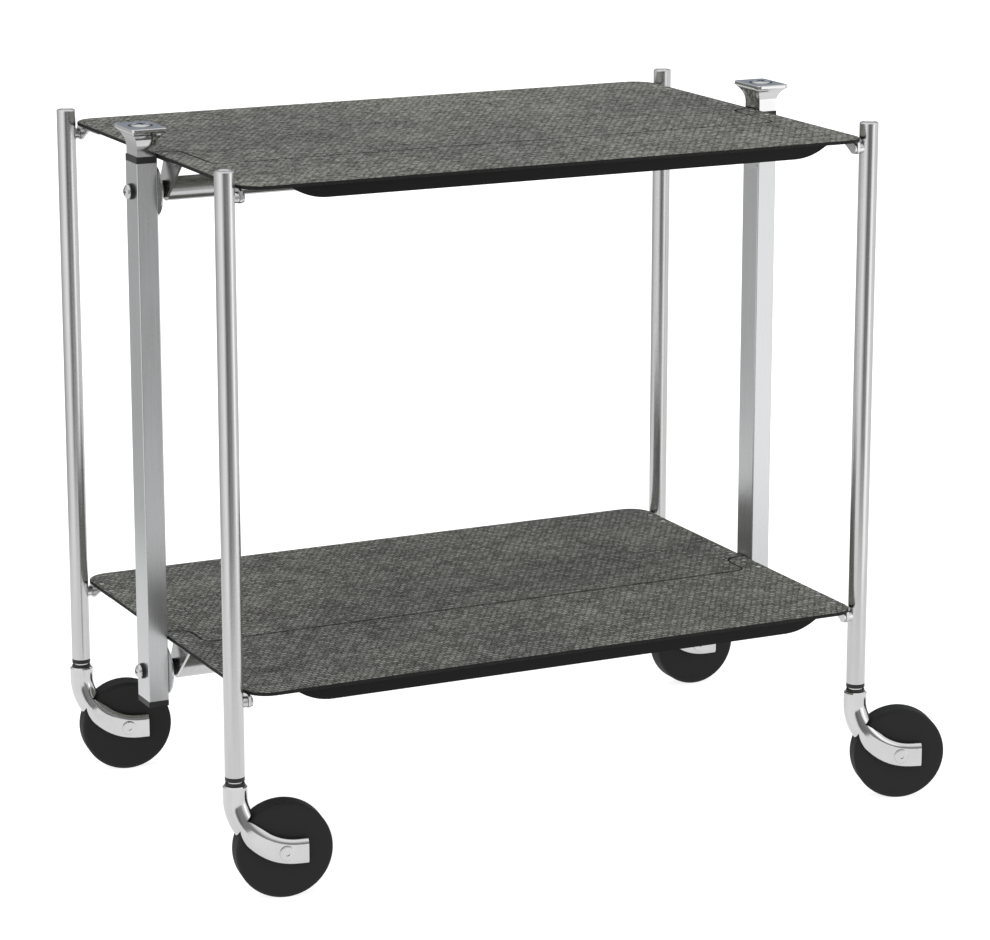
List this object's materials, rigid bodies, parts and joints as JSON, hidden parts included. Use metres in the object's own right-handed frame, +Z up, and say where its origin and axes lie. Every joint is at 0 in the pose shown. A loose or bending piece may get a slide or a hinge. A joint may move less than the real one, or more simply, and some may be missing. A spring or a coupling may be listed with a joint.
{
  "type": "folding serving cart",
  "caption": "Folding serving cart: oblong split trays pinned to round caster legs, with rectangular centre posts and flared metal handles that lift to fold it.",
  "frame": {"origin": "on the floor under the middle of the whole object's bounding box", "axes": "+Z up, X along the trays from the left end to the right end, +Y from the front to the back"},
  "size_m": [0.7554, 0.4632, 0.6797],
  "materials": {
    "satin_steel": "satin",
    "satin_aluminium": "satin",
    "polished_metal": "polished",
    "bright_steel": "polished",
    "black_plastic": "matte",
    "tray_laminate": "textured",
    "black_rail": "smooth",
    "wheel_black": "matte"
  },
  "bodies": {
    "front_left_leg": {"front_left_leg_tube": "satin_steel", "front_left_leg_cap": "bright_steel", "front_left_leg_bush": "black_plastic", "front_left_leg_pins": "bright_steel"},
    "front_left_fork": {"front_left_caster_fork": "polished_metal", "front_left_caster_axle": "polished_metal"},
    "front_left_wheel": {"front_left_caster_wheel": "wheel_black"},
    "front_right_leg": {"front_right_leg_tube": "satin_steel", "front_right_leg_cap": "bright_steel", "front_right_leg_bush": "black_plastic", "front_right_leg_pins": "bright_steel"},
    "front_right_fork": {"front_right_caster_fork": "polished_metal", "front_right_caster_axle": "polished_metal"},
    "front_right_wheel": {"front_right_caster_wheel": "wheel_black"},
    "back_left_leg": {"back_left_leg_tube": "satin_steel", "back_left_leg_cap": "bright_steel", "back_left_leg_bush": "black_plastic", "back_left_leg_pins": "bright_steel"},
    "back_left_fork": {"back_left_caster_fork": "polished_metal", "back_left_caster_axle": "polished_metal"},
    "back_left_wheel": {"back_left_caster_wheel": "wheel_black"},
    "back_right_leg": {"back_right_leg_tube": "satin_steel", "back_right_leg_cap": "bright_steel", "back_right_leg_bush": "black_plastic", "back_right_leg_pins": "bright_steel"},
    "back_right_fork": {"back_right_caster_fork": "polished_metal", "back_right_caster_axle": "polished_metal"},
    "back_right_wheel": {"back_right_caster_wheel": "wheel_black"},
    "top_tray_front": {"top_tray_front_panel": "tray_laminate", "top_tray_front_rail": "black_rail", "top_tray_front_brackets": "bright_steel", "top_tray_front_rivets": "bright_steel"},
    "top_tray_back": {"top_tray_back_panel": "tray_laminate", "top_tray_back_rail": "black_rail", "top_tray_back_brackets": "bright_steel", "top_tray_back_rivets": "bright_steel"},
    "lower_tray_front": {"lower_tray_front_panel": "tray_laminate", "lower_tray_front_rail": "black_rail", "lower_tray_front_brackets": "bright_steel", "lower_tray_front_rivets": "bright_steel"},
    "lower_tray_back": {"lower_tray_back_panel": "tray_laminate", "lower_tray_back_rail": "black_rail", "lower_tray_back_brackets": "bright_steel", "lower_tray_back_rivets": "bright_steel"},
    "centre_frame": {"handle_screws": "polished_metal", "left_handle": "polished_metal", "left_post": "satin_aluminium", "left_post_collar": "black_plastic", "left_post_foot": "black_plastic", "lower_stretcher_tube": "satin_steel", "pivot_bolts": "bright_steel", "pivot_discs": "bright_steel", "pivot_washers": "black_plastic", "right_handle": "polished_metal", "right_post": "satin_aluminium", "right_post_collar": "black_plastic", "right_post_foot": "black_plastic", "top_stretcher_tube": "satin_steel", "tube_plugs": "bright_steel"}
  },
  "joints": [
    {"name": "fold", "type": "hinge", "parent": "front_left_leg", "child": "top_tray_front", "pos_m": [-0.03528, -0.19542, 0.642], "axis": [1, 0, 0], "range_deg": [0, 80]},
    {"name": "frame_on_front_tray", "type": "hinge", "parent": "top_tray_front", "child": "centre_frame", "pos_m": [-0.03528, 0.00808, 0.618], "axis": [1, 0, 0], "range_deg": [-80, 0]},
    {"name": "back_top_fold", "type": "hinge", "parent": "centre_frame", "child": "top_tray_back", "pos_m": [-0.03528, 0.00808, 0.618], "axis": [1, 0, 0], "range_deg": [-80, 0]},
    {"name": "front_lower_fold", "type": "hinge", "parent": "centre_frame", "child": "lower_tray_front", "pos_m": [-0.03528, 0.00808, 0.161], "axis": [1, 0, 0], "range_deg": [0, 80]},
    {"name": "back_lower_fold", "type": "hinge", "parent": "centre_frame", "child": "lower_tray_back", "pos_m": [-0.03528, 0.00808, 0.161], "axis": [1, 0, 0], "range_deg": [-80, 0]},
    {"name": "front_right_leg_fold", "type": "hinge", "parent": "top_tray_front", "child": "front_right_leg", "pos_m": [0.28973, -0.19542, 0.642], "axis": [1, 0, 0], "range_deg": [-80, 0]},
    {"name": "back_left_leg_fold", "type": "hinge", "parent": "top_tray_back", "child": "back_left_leg", "pos_m": [-0.36028, 0.21158, 0.642], "axis": [1, 0, 0], "range_deg": [0, 80]},
    {"name": "back_right_leg_fold", "type": "hinge", "parent": "top_tray_back", "child": "back_right_leg", "pos_m": [0.28973, 0.21158, 0.642], "axis": [1, 0, 0], "range_deg": [0, 80]},
    {"name": "front_left_swivel", "type": "hinge", "parent": "front_left_leg", "child": "front_left_fork", "pos_m": [-0.36028, -0.19542, 0.1127], "axis": [0, 0, 1], "continuous": true},
    {"name": "front_left_wheel_spin", "type": "hinge", "parent": "front_left_fork", "child": "front_left_wheel", "pos_m": [-0.3178, -0.20215, 0.045], "axis": [0.1564, 0.9877, 0], "continuous": true},
    {"name": "front_right_swivel", "type": "hinge", "parent": "front_right_leg", "child": "front_right_fork", "pos_m": [0.28973, -0.19542, 0.1127], "axis": [0, 0, 1], "continuous": true},
    {"name": "front_right_wheel_spin", "type": "hinge", "parent": "front_right_fork", "child": "front_right_wheel", "pos_m": [0.33085, -0.20799, 0.045], "axis": [0.2924, 0.9563, 0], "continuous": true},
    {"name": "back_left_swivel", "type": "hinge", "parent": "back_left_leg", "child": "back_left_fork", "pos_m": [-0.36028, 0.21158, 0.1127], "axis": [0, 0, 1], "continuous": true},
    {"name": "back_left_wheel_spin", "type": "hinge", "parent": "back_left_fork", "child": "back_left_wheel", "pos_m": [-0.31764, 0.20597, 0.045], "axis": [0.1305, 0.9914, 0], "continuous": true},
    {"name": "back_right_swivel", "type": "hinge", "parent": "back_right_leg", "child": "back_right_fork", "pos_m": [0.28973, 0.21158, 0.1127], "axis": [0, 0, 1], "continuous": true},
    {"name": "back_right_wheel_spin", "type": "hinge", "parent": "back_right_fork", "child": "back_right_wheel", "pos_m": [0.33272, 0.21158, 0.045], "axis": [0, 1, 0], "continuous": true}
  ],
  "couplings": [
    {"joint": "frame_on_front_tray", "follows": "fold", "ratio": -1},
    {"joint": "back_top_fold", "follows": "fold", "ratio": -1},
    {"joint": "front_lower_fold", "follows": "fold", "ratio": 1},
    {"joint": "back_lower_fold", "follows": "fold", "ratio": -1},
    {"joint": "front_right_leg_fold", "follows": "fold", "ratio": -1},
    {"joint": "back_left_leg_fold", "follows": "fold", "ratio": 1},
    {"joint": "back_right_leg_fold", "follows": "fold", "ratio": 1}
  ]
}
